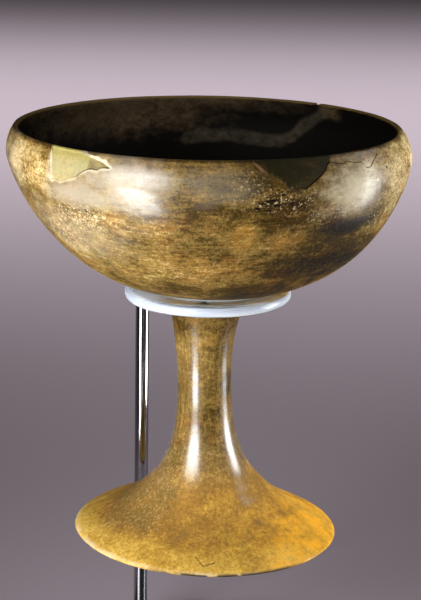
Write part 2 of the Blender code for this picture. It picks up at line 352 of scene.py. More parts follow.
class CupScene(bpy.types.PropertyGroup):
    """Everything a user would change."""

    cup: PointerProperty(type=CupSizes)
    colours: PointerProperty(type=Colours)
    stand: PointerProperty(type=StandSizes)
    studio: PointerProperty(type=StudioSizes)


# ---------------------------------------------------------------- materials


def math_operator(operation, swapped=False):
    """A Python operator that adds a Math node. In a swapped one the field stands on the right."""

    def apply(field, other):
        first, second = (other, field) if swapped else (field, other)
        return field.math(operation, first, second)

    return apply


class Field:
    """A number that changes over a surface. Python's operators on it add Math nodes."""

    def __init__(self, paint, socket):
        self.paint = paint
        self.socket = socket

    def math(self, operation, *values):
        node = self.paint.node("ShaderNodeMath", {"operation": operation}, *values)
        return Field(self.paint, node.outputs[0])

    __add__ = math_operator("ADD")
    __radd__ = math_operator("ADD", swapped=True)
    __sub__ = math_operator("SUBTRACT")
    __rsub__ = math_operator("SUBTRACT", swapped=True)
    __mul__ = math_operator("MULTIPLY")
    __rmul__ = math_operator("MULTIPLY", swapped=True)
    __truediv__ = math_operator("DIVIDE")
    __rtruediv__ = math_operator("DIVIDE", swapped=True)
    __pow__ = math_operator("POWER")
    least = math_operator("MINIMUM")
    most = math_operator("MAXIMUM")

    def magnitude(self):
        return self.math("ABSOLUTE", self)

    def step(self, low, high):
        """0 below low and 1 above high, with a smooth rise between. low may be the larger."""
        settings = {"interpolation_type": "SMOOTHSTEP"}
        node = self.paint.node("ShaderNodeMapRange", settings, self, low, high, 0.0, 1.0)
        return Field(self.paint, node.outputs[0])


class Paint:
    """A material under construction."""

    def __init__(self, name):
        self.material = bpy.data.materials.new(name)
        self.material.use_nodes = True
        self.tree = self.material.node_tree
        self.tree.nodes.clear()
        self.output = self.tree.nodes.new("ShaderNodeOutputMaterial")
        self.place = self.node("ShaderNodeTexCoord").outputs["Object"]

    def node(self, kind, settings=None, *values, **named):
        """Adds a node: its settings first, then its sockets, in order or by name."""
        node = self.tree.nodes.new(kind)
        for key, setting in (settings or {}).items():
            setattr(node, key, setting)
        named_sockets = [(node.inputs[key], value) for key, value in named.items()]
        for socket, value in [*zip(node.inputs, values), *named_sockets]:
            self.feed(socket, value)
        return node

    def feed(self, socket, value):
        """Links a field or a socket to a node's input, or sets a plain value on it."""
        if isinstance(value, Field):
            value = value.socket
        if isinstance(value, bpy.types.NodeSocket):
            self.tree.links.new(value, socket)
        elif value is not None:
            socket.default_value = value

    def axes(self):
        node = self.node("ShaderNodeSeparateXYZ", None, self.place)
        return [Field(self, socket) for socket in node.outputs]

    def stretch(self, x, y, z):
        """The place, scaled along each axis, so that a pattern runs longer one way."""
        scaled = self.node("ShaderNodeVectorMath", {"operation": "MULTIPLY"}, self.place, (x, y, z))
        return scaled.outputs[0]

    def noise(self, place, scale=1.0, detail=4.0, roughness=0.55, distortion=0.0):
        node = self.node(
            "ShaderNodeTexNoise",
            None,
            Vector=place,
            Scale=scale,
            Detail=detail,
            Roughness=roughness,
            Distortion=distortion,
        )
        return Field(self, node.outputs[0])

    def ramp(self, value, stops):
        node = self.node("ShaderNodeValToRGB", None, value)
        marks = node.color_ramp.elements
        while len(marks) < len(stops):
            marks.new(0.5)
        for mark, (at, colour) in zip(marks, stops):
            mark.position = at
            mark.color = (*colour, 1.0)
        return node.outputs[0]

    def mix(self, factor, first, second, blend="MIX"):
        node = self.node("ShaderNodeMix", {"data_type": "RGBA", "blend_type": blend})
        sockets = [socket for socket in node.inputs if socket.enabled]
        for socket, value in zip(sockets, (factor, first, second)):
            is_colour = not isinstance(value, (Field, float, bpy.types.NodeSocket))
            self.feed(socket, (*value, 1.0) if is_colour else value)
        return next(socket for socket in node.outputs if socket.enabled)

    def marks(self, name):
        node = self.node("ShaderNodeAttribute", {"attribute_name": name})
        split = self.node("ShaderNodeSeparateColor", None, node.outputs["Color"])
        return [Field(self, socket) for socket in (*split.outputs[:3], node.outputs["Alpha"])]

    def bump(self, height, distance):
        return self.node("ShaderNodeBump", None, Strength=1.0, Distance=distance, Height=height).outputs[0]

    def shader(self, **sockets):
        names = {key.replace("_", " "): value for key, value in sockets.items()}
        return self.node("ShaderNodeBsdfPrincipled", None, **names).outputs[0]

    def finish(self, surface):
        self.tree.links.new(surface, self.output.inputs["Surface"])
        return self.material


def clouds(listed, turn, drop, ragged):
    """Where soft clouds lie on the bowl, with their edges made ragged by a noise."""
    total = None
    for cloud in listed:
        across = (turn - cloud.turn) * (math.radians(BOWL_MM) / cloud.wide)
        down = (drop - cloud.drop) / cloud.tall
        reach = (across * across + down * down) ** 0.5 + (ragged - 0.5) * 1.6
        mask = reach.step(1.35, 0.25) * cloud.strength
        total = mask if total is None else total.most(mask)
    return total


def trail(points, turn, drop, wide, ragged):
    """How near a place on the bowl is to a wandering line of (degrees round, millimetres down) points."""
    total = None
    for first, last in zip(points, points[1:]):
        reach = Vector((math.radians(last[0] - first[0]) * BOWL_MM, last[1] - first[1]))
        across = (turn - first[0]) * math.radians(BOWL_MM)
        down = drop - first[1]
        along = (across * reach.x + down * reach.y) * (1.0 / reach.length_squared)
        along = along.most(0.0).least(1.0)
        off = (across - along * reach.x) ** 2.0 + (down - along * reach.y) ** 2.0
        mask = (off ** 0.5 * (1.0 / wide) + (ragged - 0.5) * 1.2).step(1.3, 0.5)
        total = mask if total is None else total.most(mask)
    return total


class SlipMap:
    """The places, patterns and clouds on the cup's outside that the layers of its slip share."""

    def __init__(self, paint):
        self.x, y, z = paint.axes()
        self.turn = self.x.math("ARCTAN2", self.x, y * -1.0) * math.degrees(1.0)
        self.drop = (RIM - z) * 1000.0
        self.out = (self.x * self.x + y * y) ** 0.5 * 1000.0
        self.bowl = self.drop.step(90.0, 80.0)
        self.foot = self.drop.step(172.0, 196.0)
        self.flare = (self.drop + self.turn.step(0.0, 30.0) * 8.0).step(158.0, 174.0)
        self.fill, self.dark, self.crack, self.bare = paint.marks("marks")

        # Patterns, from broad to fine.
        self.broad = paint.noise(paint.place, 24.0, 3.0, 0.5)
        self.cloudy = paint.noise(paint.stretch(1, 1, 1.4), 48.0, 6.0, 0.66, 0.8)
        self.mottle = paint.noise(paint.stretch(1, 1, 1.5), 70.0, 9.0, 0.70, 0.4)
        self.ragged = paint.noise(paint.stretch(1, 1, 1.7), 110.0, 7.0, 0.68)
        self.grain = paint.noise(paint.stretch(1, 1, 1.3), 420.0, 4.0, 0.68)
        self.fleck = paint.noise(paint.place, 1000.0, 2.0, 0.6)

        self.darker = self.clouds(DARK_CLOUDS)
        self.lighter = self.clouds(GOLD_CLOUDS)
        self.greyer = self.clouds(GREY_CLOUDS)
        back_left = ((self.turn + 62.0) / 34.0) ** 2.0 + ((self.out - 40.0) / 20.0) ** 2.0
        self.shaded = (back_left + (self.ragged - 0.5) * 2.0).step(1.6, 0.2)

    def clouds(self, listed):
        """Where the listed clouds lie on the bowl."""
        return clouds(listed, self.turn, self.drop, self.ragged) * self.bowl


def burnish_strokes(paint, at):
    """Strokes that run level round the bowl, and up and down its flanks and the stem."""
    level = paint.noise(paint.stretch(90, 90, 760), 1.0, 4.0, 0.6, 0.2)
    upright = paint.noise(paint.stretch(620, 620, 70), 1.0, 4.0, 0.6, 0.2)
    flank = at.turn.magnitude().step(34.0, 62.0) * at.drop.step(16.0, 34.0)
    along = (1.0 - at.bowl).most(flank * 0.8)
    return level * (1.0 - along) + upright * along


def slip_tone(paint, at, strokes):
    """How light the slip is, from 0 for soot to 1 for cream."""
    smear = paint.noise(paint.stretch(40, 40, 120), 1.0, 6.0, 0.62, 1.2)
    stain_and_reflection = clouds(STEM_STAINS, at.turn, at.drop, at.ragged) * (1.0 - at.bowl)
    body = 0.422 + (at.broad - 0.5) * 0.35 + (at.mottle - 0.5) * 0.6 + (smear - 0.5) * at.bowl * 0.18
    body = body + at.foot * 0.16 + (at.cloudy - 0.5) * at.bowl * 0.45
    body = body - at.darker * 0.36 + at.lighter * 0.24 + at.greyer * 0.12
    body = body - at.drop.step(1.6, 0.6) * 0.15 - stain_and_reflection * 0.20
    fine = (strokes - 0.5) * 0.42 + (at.grain - 0.5) * 0.43 + (at.fleck - 0.5) * 0.31
    return body + fine * (1.0 - at.greyer * 0.6) * (1.0 + at.foot * 0.2)


def bowl_slip(paint, colours, at, tone):
    """The slip of the bowl and the stem: brown to gold, with reddish, greenish and amber casts."""
    stops = (
        (0.02, colours.soot),
        (0.28, colours.umber),
        (0.50, colours.tan),
        (0.70, colours.gold),
        (0.92, colours.cream),
    )
    slip = paint.ramp(tone, stops)
    tint = paint.noise(paint.stretch(1, 1, 1.8), 55.0, 6.0, 0.62)
    slip = paint.mix(tint.step(0.50, 0.66) * 0.28, slip, colours.rust, "SOFT_LIGHT")
    slip = paint.mix(tint.step(0.50, 0.36) * 0.40, slip, colours.moss, "SOFT_LIGHT")
    amber = at.clouds(AMBER_CLOUDS)
    cast = amber * (0.40 + at.mottle.step(0.40, 0.60) * 0.60)
    slip = paint.mix(cast, slip, colours.ochre_dark, "SOFT_LIGHT")
    return paint.mix(amber * at.mottle.step(0.40, 0.62) * 0.35, slip, colours.ochre)


def foot_slip(paint, colours, at, tone):
    """The foot's ochre slip: orange on its right and brown at its back left. It is painted lighter towards
    its outer edge on the left and front, and paler still at the very rim: partly wear, partly a painted
    highlight where the lights catch the rounded rim.
    """
    warm = (at.x * 1000.0 + (at.cloudy - 0.5) * 80.0).step(14.0, 62.0) * at.drop.step(194.0, 212.0)
    # Painted light: the foot's outer part lighter on the left and front, where the lights fall.
    edge = at.out.step(46.0, 68.0) * (at.turn + (at.broad - 0.5) * 60.0).step(75.0, 20.0)
    tone = tone - 0.15 + (at.cloudy - 0.5) * 0.6 - at.shaded * 0.20 + edge * 0.26 + warm * 0.16
    stops = (
        (0.16, colours.tan),
        (0.40, colours.ochre_dark),
        (0.62, colours.ochre),
        (0.90, colours.honey),
    )
    slip = paint.ramp(tone, stops)
    slip = paint.mix(warm * (0.35 + at.ragged.step(0.40, 0.60) * 0.6), slip, colours.orange)
    slip = paint.mix(at.shaded * at.mottle.step(0.46, 0.62) * 0.55, slip, colours.tan)
    # A thin pale line along the very rim, partly wear and partly a painted highlight on the rounded edge.
    worn_and_lit_rim = at.out.step(69.6, 70.6) * at.turn.step(70.0, 20.0)
    return paint.mix(worn_and_lit_rim * (0.1 + at.ragged.step(0.40, 0.62) * 0.5), slip, colours.cream)


def speckled(paint, colours, at, slip):
    """Adds pale specks where the slip is thin, and dark pits where it is thick."""
    dots = at.grain * 0.45 + at.fleck * 0.55
    scuffed = at.clouds(SCUFFS)
    flecked = (at.lighter * 0.35 + scuffed * 0.8 + 0.04) * (1.0 - at.greyer) * at.bowl
    flecked = flecked + at.shaded * at.foot * 0.35
    pits = dots.step(0.45, 0.38) * (0.12 + at.darker * 0.4 + at.lighter * 0.2 + scuffed * 0.8)
    pits = pits * (1.0 - at.greyer * 0.7) * (1.0 - at.foot * 0.7 * (1.0 - at.shaded))
    slip = paint.mix((dots.step(0.53, 0.64) * flecked).least(0.66), slip, colours.cream)
    return paint.mix(pits, slip, colours.soot)


def repaired(paint, colours, at, slip):
    """Adds the plaster and the dark fill, the chalky wear, the reddish streak, the cracks and the painted
    shadow line under the plaster's step.
    """
    khaki = (at.turn + (at.ragged - 0.5) * 3.0).step(-35.2, -34.0)
    yellowed = (at.drop + (at.ragged - 0.5) * 7.0).step(7.0, 1.0)
    plaster = paint.mix(yellowed * 0.8, colours.plaster, colours.yellow)
    plaster = paint.mix(khaki, plaster, colours.olive)
    plaster = paint.mix(at.mottle.step(0.40, 0.65) * 0.5, plaster, colours.gold)
    plaster = paint.mix(at.grain.step(0.52, 0.36) * 0.25, plaster, colours.olive)
    chalky = at.clouds(CHALKY)
    slip = paint.mix(chalky * (0.4 + at.grain.step(0.40, 0.56) * 0.5), slip, colours.chalk)
    slip = paint.mix(at.fill, slip, plaster)
    streak = trail(RED_STREAK, at.turn, at.drop, 0.8, at.mottle)
    slip = paint.mix(streak * at.mottle.step(0.42, 0.60) * 0.5, slip, colours.blush)
    slip = paint.mix(at.dark * (0.98 - (at.mottle - 0.5) * 0.6).least(1.0), slip, colours.dark_fill)
    slip = paint.mix(at.bare * (0.35 + khaki * at.drop.step(7.0, 5.0) * 0.5), slip, colours.chalk)
    return paint.mix(at.crack, slip, colours.soot)


def slip_polish(at):
    """The coat's weight: most on the burnished shoulder and low on the stem, and none on the repairs."""
    burnished = at.clouds(BURNISHED)
    left_spot = at.drop.step(124.0, 134.0) * at.drop.step(154.0, 145.0) * at.turn.step(15.0, -10.0)
    ends = (at.drop + at.turn.step(0.0, 30.0) * 9.0).step(190.0, 200.0)
    polish = 0.04 + burnished * 0.38 + at.drop.step(96.0, 126.0) * (0.20 - (at.mottle - 0.5) * 1.5)
    polish = polish + at.flare * 0.75 + left_spot * 0.45 - ends - (at.grain - 0.5) * 0.6
    return (polish - at.fill * 0.4 - at.dark * 0.8 - at.crack).most(0.0).least(1.0)


def slip_material(colours):
    """Worn, burnished slip on the outside of the bowl, the stem and the foot."""
    paint = Paint("burnished_slip")
    at = SlipMap(paint)
    strokes = burnish_strokes(paint, at)
    tone = slip_tone(paint, at, strokes)
    upper = bowl_slip(paint, colours, at, tone)
    slip = paint.mix(at.foot * 0.92, upper, foot_slip(paint, colours, at, tone))
    slip = paint.mix(at.greyer * 0.85, slip, paint.mix(at.lighter, colours.grey, colours.chalk))
    slip = speckled(paint, colours, at, slip)
    slip = repaired(paint, colours, at, slip)

    underside = at.drop.step(28.0, 50.0) * at.bowl
    rough = 0.46 + (at.grain - 0.5) * 0.30 + (at.mottle - 0.5) * 0.20 - at.greyer * 0.08
    rough = rough + at.fill * 0.10 + at.dark * 0.25
    rough = (rough + underside * 0.45 + at.foot * 0.20).least(1.0)
    ripple = paint.noise(paint.stretch(1, 1, 0.5), 150.0, 2.0, 0.5)
    height = strokes * 0.5 + at.mottle * 0.4 + at.grain * 0.6 + at.fleck * 0.15 + ripple * at.flare * 2.8
    shader = paint.shader(
        Base_Color=slip,
        Roughness=rough,
        Specular_IOR_Level=0.08,
        IOR=1.5,
        Coat_Weight=slip_polish(at),
        Coat_Roughness=0.22,
        Coat_IOR=1.8,
        Normal=paint.bump(height, 0.25 * MM),
    )
    return paint.finish(shader)


def inside_material(colours):
    """The smoked inside of the bowl, painted nearly black: darker than the smoke alone, as painted shade in
    the bowl. It has brown wear on its upper wall and a painted reflection band across its far wall.
    """
    paint = Paint("smoked_inside")
    x, y, z = paint.axes()
    turn = x.math("ARCTAN2", x, y) * math.degrees(1.0)
    drop = (RIM - z) * 1000.0
    ragged = paint.noise(paint.stretch(1, 1, 1.7), 110.0, 7.0, 0.68)
    mottle = paint.noise(paint.stretch(1, 1, 1.6), 160.0, 6.0, 0.65, 0.5)
    grain = paint.noise(paint.place, 600.0, 3.0, 0.6)
    worn = clouds(WORN_CLOUDS, turn, drop, ragged)
    # The band of painted reflection across the far wall.
    band = trail(SHEEN_BAND, turn, drop, 3.6, ragged)
    smoke = (0.6 + (mottle - 0.5) * 1.5 + (grain - 0.5) * 0.9).most(0.0).least(1.0)
    slip = paint.mix(worn * smoke, colours.inside, colours.smoke)
    slip = paint.mix(band * (0.20 + (mottle - 0.5) * 0.8).most(0.0), slip, colours.inside_sheen)
    lip = (drop + (mottle - 0.5) * 1.5).step(1.3, 0.4)
    slip = paint.mix(lip * 0.5, slip, colours.tan)
    rough = 0.6 + (mottle - 0.5) * 0.3
    surface = paint.bump(mottle * 0.6 + grain * 0.4, 0.15 * MM)
    shader = paint.shader(Base_Color=slip, Roughness=rough, Specular_IOR_Level=0.02, Normal=surface)
    return paint.finish(shader)


def under_material(colours):
    """Bare, dusty clay inside the hollow foot."""
    paint = Paint("bare_clay_under_foot")
    grain = paint.noise(paint.place, 220.0, 6.0, 0.65)
    rings = paint.noise(paint.stretch(30, 30, 500), 1.0, 4.0, 0.6)
    stops = ((0.25, colours.umber), (0.5, colours.tan), (0.8, colours.gold))
    clay = paint.ramp(grain * 0.6 + rings * 0.4, stops)
    surface = paint.bump(grain * 0.6 + rings * 0.4, 0.5 * MM)
    rough = 0.75 + (grain - 0.5) * 0.2
    return paint.finish(paint.shader(Base_Color=clay, Roughness=rough, Normal=surface))


def frosted_shader(paint, colours, painted_glow):
    """Sanded acrylic, milky. Its emission is a painted glow that stands in for light carried through the
    acrylic into the ring.
    """
    sanding = paint.noise(paint.stretch(90, 90, 1500), 1.0, 3.0, 0.6)
    sheen = paint.noise(paint.stretch(26, 26, 420), 1.0, 2.0, 0.5)
    milk = paint.mix(sheen.step(0.42, 0.62) * 0.6, colours.frosted, colours.pearl_and_highlight)
    return paint.shader(
        Base_Color=milk,
        Emission_Color=milk,
        Emission_Strength=painted_glow,
        Roughness=0.30 + (sanding - 0.5) * 0.2,
        Transmission_Weight=0.15,
        IOR=1.49,
        Normal=paint.bump(sanding, 0.05 * MM),
    )


def clear_material(colours):
    """Clear acrylic, milky at the ring's left end, where its top is sanded too. Under the bowl its top is
    painted instead: a painted reflection of the clay with a painted highlight line along the bore and a
    painted shadow streak, the line glowing as painted light.
    """
    paint = Paint("clear_acrylic")
    x, y, _ = paint.axes()
    smudge = paint.noise(paint.place, 60.0, 3.0, 0.6)
    clear = paint.shader(
        Base_Color=(*colours.acrylic, 1.0),
        Roughness=0.01 + smudge.step(0.5, 0.8) * 0.03,
        Transmission_Weight=1.0,
        IOR=1.2,
        Coat_Weight=0.6,
    )
    turn = x.math("ARCTAN2", x, y * -1.0) * math.degrees(1.0)
    out = (x * x + y * y) ** 0.5 * 1000.0
    # Under the bowl, painted light: the clay's painted reflection, a painted highlight line along the bore
    # that glows, and a dark painted shadow streak.
    streak = paint.noise(paint.stretch(40, 40, 900), 1.0, 3.0, 0.6)
    highlight_line = (out + (streak - 0.5) * 2.0).step(34.0, 32.0)
    # A dark painted shadow streak in that painted reflection, a little right of the front.
    gap = (out - 41.4).magnitude().step(2.0, 0.8) * (turn - 18.0).magnitude().step(11.0, 6.0)
    seen = paint.mix(highlight_line, colours.mirrored, colours.pearl_and_highlight)
    stain_and_reflection = paint.shader(
        Base_Color=paint.mix(gap, seen, colours.soot),
        Roughness=0.2,
        IOR=1.49,
        Emission_Color=paint.mix(highlight_line, colours.soot, colours.pearl_and_highlight),
        Emission_Strength=0.4,
    )
    # Where the painted reflection covers the clear top, under the bowl.
    under_bowl = (out + (streak - 0.5) * 3.0).step(43.0, 39.5) * 0.75
    mixed = paint.node("ShaderNodeMixShader", None, under_bowl, clear, stain_and_reflection).outputs[0]
    # The sanded left end is milky and glows with painted light, as if lit through the acrylic.
    sanded = (turn + (smudge - 0.5) * 20.0).step(-30.0, -55.0)
    milky = frosted_shader(paint, colours, 0.4)
    mixed = paint.node("ShaderNodeMixShader", None, sanded * 0.85, mixed, milky).outputs[0]
    return paint.finish(mixed)


def frosted_material(colours):
    """The ring's sanded outer edge, with a faint painted glow."""
    paint = Paint("frosted_acrylic_edge")
    return paint.finish(frosted_shader(paint, colours, 0.06))


def post_material(colours):
    """Polished round bar, with the faint marks of its drawing along it."""
    paint = Paint("polished_bar")
    lines = paint.noise(paint.stretch(2600, 2600, 14), 1.0, 3.0, 0.6)
    smudge = paint.noise(paint.place, 60.0, 4.0, 0.6)
    rough = 0.07 + smudge.step(0.4, 0.8) * 0.09 + (lines - 0.5) * 0.03
    shader = paint.shader(
        Base_Color=(*colours.steel, 1.0), Metallic=1.0, Roughness=rough, Normal=paint.bump(lines, 0.01 * MM)
    )
    return paint.finish(shader)


def base_material(colours):
    """Satin steel plate with fine turning marks round its middle."""
    paint = Paint("turned_plate")
    x, y, _ = paint.axes()
    out = (x * x + y * y) ** 0.5
    rings = paint.node("ShaderNodeCombineXYZ", None, out * 1800.0, 0.0, 0.0).outputs[0]
    lines = paint.noise(rings, 1.0, 4.0, 0.65)
    smudge = paint.noise(paint.place, 30.0, 5.0, 0.6)
    smudged = tuple(part * 0.8 for part in colours.plate)
    colour = paint.mix(smudge.step(0.3, 0.8) * 0.35, colours.plate, smudged)
    rough = 0.30 + (lines - 0.5) * 0.2 + (smudge - 0.5) * 0.12
    surface = paint.bump(lines, 0.03 * MM)
    return paint.finish(paint.shader(Base_Color=colour, Metallic=1.0, Roughness=rough, Normal=surface))


def floor_material(colours):
    """A plain, pale, matt floor."""
    paint = Paint("studio_floor")
    grain = paint.noise(paint.place, 14.0, 3.0, 0.5)
    colour = paint.mix(grain * 0.06, colours.floor, tuple(c * 0.9 for c in colours.floor))
    return paint.finish(paint.shader(Base_Color=colour, Roughness=0.85, Specular_IOR_Level=0.2))


# ---------------------------------------------------------------- the cup


def read_section():
    """Reads the solid cup's rings, from the bowl's floor up, over the lip and down to the hollow's top."""
    solid = bmesh.new()
    solid.from_mesh(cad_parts["pottery_cup"].data)
    bmesh.ops.remove_doubles(solid, verts=solid.verts, dist=LOOSE_WELD)
    level = 0.001 * MM
    in_plane = [v for v in solid.verts if abs(v.co.y) < level]
    start = max((v for v in in_plane if len(v.link_edges) > POLE_EDGES), key=lambda v: v.co.z)
    sides = []
    for way in (1, -1):
        walked = [start]
        while True:
            ahead = [e.other_vert(walked[-1]) for e in walked[-1].link_edges]
            ahead = [v for v in ahead if abs(v.co.y) < level and v not in walked[-2:]]
            if len(walked) == 1:
                ahead = [v for v in ahead if (v.co.x - start.co.x) * way > 0]
            if not ahead:
                break
            walked.append(ahead[0])
            if len(ahead[0].link_edges) > POLE_EDGES:
                break
        sides.append([v.co.copy() for v in walked])
    solid.free()
    rings = []
    for right, left in zip(*sides):
        radius = (right.x - left.x) / 2
        dip = (left.z - right.z) / (2 * radius) if radius > MM else 0.0
        rings.append(Ring(radius, (right.x + left.x) / 2, (right.z + left.z) / 2, dip))
    return rings


def finer(rings, row_height):
    """Draws a smooth curve through the rings and reads rings off it, row_height(i) apart after ring i."""
    gaps = [math.hypot(b.radius - a.radius, b.height - a.height) for a, b in zip(rings, rings[1:])]
    padded = [rings[0], *rings, rings[-1]]
    spans = [0.0, *gaps, 0.0]
    slopes = [
        Ring(*((c - a) / (before + after) for a, c in zip(low, high)))
        for low, high, before, after in zip(padded, padded[2:], spans, spans[1:])
    ]
    smooth = []
    for i, (start, end) in enumerate(zip(rings, rings[1:])):
        steps = max(1, round(gaps[i] / row_height(i)))
        for step in range(steps):
            t = step / steps
            rise = t * t * (3 - 2 * t)
            leave = t * (1 - t) ** 2 * gaps[i]
            arrive = t * t * (1 - t) * gaps[i]
            parts = zip(start, end, slopes[i], slopes[i + 1])
            smooth.append((i, Ring(*(a + (b - a) * rise + leave * s - arrive * e for a, b, s, e in parts))))
    smooth.append((len(rings) - 1, rings[-1]))
    return smooth


def edge_distance(point, outline, closed):
    """The distance from a point to an outline, in the outline's own unit."""
    ends = outline[1:] + (outline[:1] if closed else ())
    best = NOWHERE
    for start, end in zip(outline, ends):
        start, end = Vector(start), Vector(end)
        near, share = intersect_point_line(point, start, end)
        near = Vector(start.lerp(end, min(max(share, 0.0), 1.0)))
        best = min(best, (near - Vector(point)).length)
    return best


def is_inside(point, outline):
    inside = False
    for (ax, ay), (bx, by) in zip(outline, outline[1:] + outline[:1]):
        if (ay > point[1]) != (by > point[1]):
            if point[0] < ax + (bx - ax) * (point[1] - ay) / (by - ay):
                inside = not inside
    return inside


def depth_inside(place, outline):
    """How far inside an outline a place is, or how far outside it as a number below 0."""
    return edge_distance(place, outline, True) * (1 if is_inside(place, outline) else -1)


def ease(value, low, high):
    share = min(max((value - low) / (high - low), 0.0), 1.0)
    return share * share * (3 - 2 * share)


def unroll(listed):
    """Turns (degrees, millimetres) on the bowl's wall into millimetres both ways."""
    return tuple((math.radians(turn) * BOWL_MM, drop) for turn, drop in listed)


FLAT_PLASTER = unroll(PLASTER_FILL)
FLAT_DARK = unroll(DARK_FILL)
FLAT_CRACK = unroll(CRACK)
FLAT_HAIRLINE = unroll(HAIRLINE)
FLAT_SCARS = tuple((math.radians(turn) * BOWL_MM, *rest) for turn, *rest in SCARS)
FLAT_UPPER = unroll(UPPER_FILL)


def feature_distance(round_mm, drop):
    """How far a place on the bowl's outer wall is from the nearest edge of a fill, crack or scar, in mm."""
    place = (round_mm, drop)
    if LEFT_MARKS[0] < round_mm < LEFT_MARKS[1]:
        return edge_distance(place, FLAT_PLASTER, True)
    if not RIGHT_MARKS[0] < round_mm < RIGHT_MARKS[1]:
        return NOWHERE
    gaps = [edge_distance(place, line, False) for line in (FLAT_DARK, FLAT_CRACK, FLAT_HAIRLINE)]
    for middle, low, half_long, _ in FLAT_SCARS:
        across = max(abs(round_mm - middle) - half_long, 0.0)
        gaps.append(math.hypot(across, drop - low))
    return min(gaps)


def bowl_marks(round_mm, drop, sizes):
    """The repairs and scars at a place on the bowl: (depth, plaster, dark fill, crack and painted shadow
    line, bare edge).
    """
    place = (round_mm, drop)
    wander = noise.noise(Vector((round_mm * 0.45, drop * 0.45, 3.0)))
    depth = plaster = dark = crack = bare = 0.0
    if LEFT_MARKS[0] < round_mm < LEFT_MARKS[1]:
        edge = depth_inside(place, FLAT_PLASTER) + wander * 0.3
        plaster = ease(edge, -0.15, 0.15)
        depth -= sizes.fill_step * ease(edge, -0.2, 0.4)
        chipped = 0.9 + noise.noise(Vector((round_mm * 0.3, drop * 0.3, 8.0))) * 1.1
        lower = ease(drop - 6.0 + (round_mm + 55.0) * 0.16, -0.5, 0.5)
        bare = (1 - ease(abs(edge + 0.5), chipped * 0.4, chipped)) * (1 - plaster)
        # A painted shadow line along the plaster's lower, stepped edge, carried in the crack mark.
        crack = (1 - ease(abs(edge), 0.12, 0.35)) * lower * ease(round_mm, -70.0, -66.0) * 0.8
    if RIGHT_MARKS[0] < round_mm < RIGHT_MARKS[1]:
        edge = depth_inside(place, FLAT_DARK)
        broken = ease(edge_distance(place, FLAT_CRACK, False), 0.5, 4.0)
        dark = ease(edge + wander * 1.5 * broken, -0.4 - 2.4 * broken, 0.4 + 1.6 * broken)
        depth -= sizes.fill_step * 0.6 * ease(edge, -0.8, 0.8)
        if is_inside(place, FLAT_UPPER):
            depth -= sizes.fill_step * 0.6
        for line, width, deep in ((FLAT_CRACK, 1.0, 1.0), (FLAT_HAIRLINE, 0.5, 0.45)):
            width = width * sizes.crack_width / MM * (1 + wander * 0.8)
            gap = edge_distance(place, line, False) + wander * 0.12
            line_depth = 1 - ease(gap, width * 0.5, width * 1.5)
            crack = max(crack, line_depth * (0.55 + 0.45 * deep))
            depth -= sizes.crack_depth * deep * line_depth
        for middle, low, half_long, half_tall in FLAT_SCARS:
            across = (round_mm - middle) / half_long
            down = (drop - low + wander * 0.5) / half_tall
            scar = 1 - ease(math.hypot(across, down) + wander * 0.5, 0.5, 1.15)
            crack = max(crack, scar)
            depth -= sizes.crack_depth * 0.7 * scar
    return depth, plaster, dark, crack, bare


def foot_marks(at, drop, degrees):
    """The scratch near the foot's front edge and the nicks along it, as bowl_marks gives its marks."""
    gap = edge_distance((at.x * 1000, at.y * 1000), FOOT_SCRATCH, False)
    broken = ease(noise.noise(at * 900.0), -0.5, 0.0)
    scratched = (1 - ease(gap, 0.12, 0.50)) * broken * 0.8
    in_front = ease(degrees, -30.0, -10.0) * (1 - ease(degrees, 34.0, 52.0))
    nicked = ease(drop, 221.5, 222.2) * in_front * ease(noise.noise(at * 230.0), -0.45, -0.05)
    depth = -0.25 * MM * scratched - 0.12 * MM * nicked
    return depth, 0.0, 0.0, max(scratched, nicked * 0.95), 0.0


def stroke_at(at, drop):
    """The burnishing strokes: level round the bowl, and up and down the stem and the foot."""
    across, up = (45, 330) if drop < STEM_DROP else (190, 30)
    return noise.noise(Vector((at.x * across, at.y * across, at.z * up)))


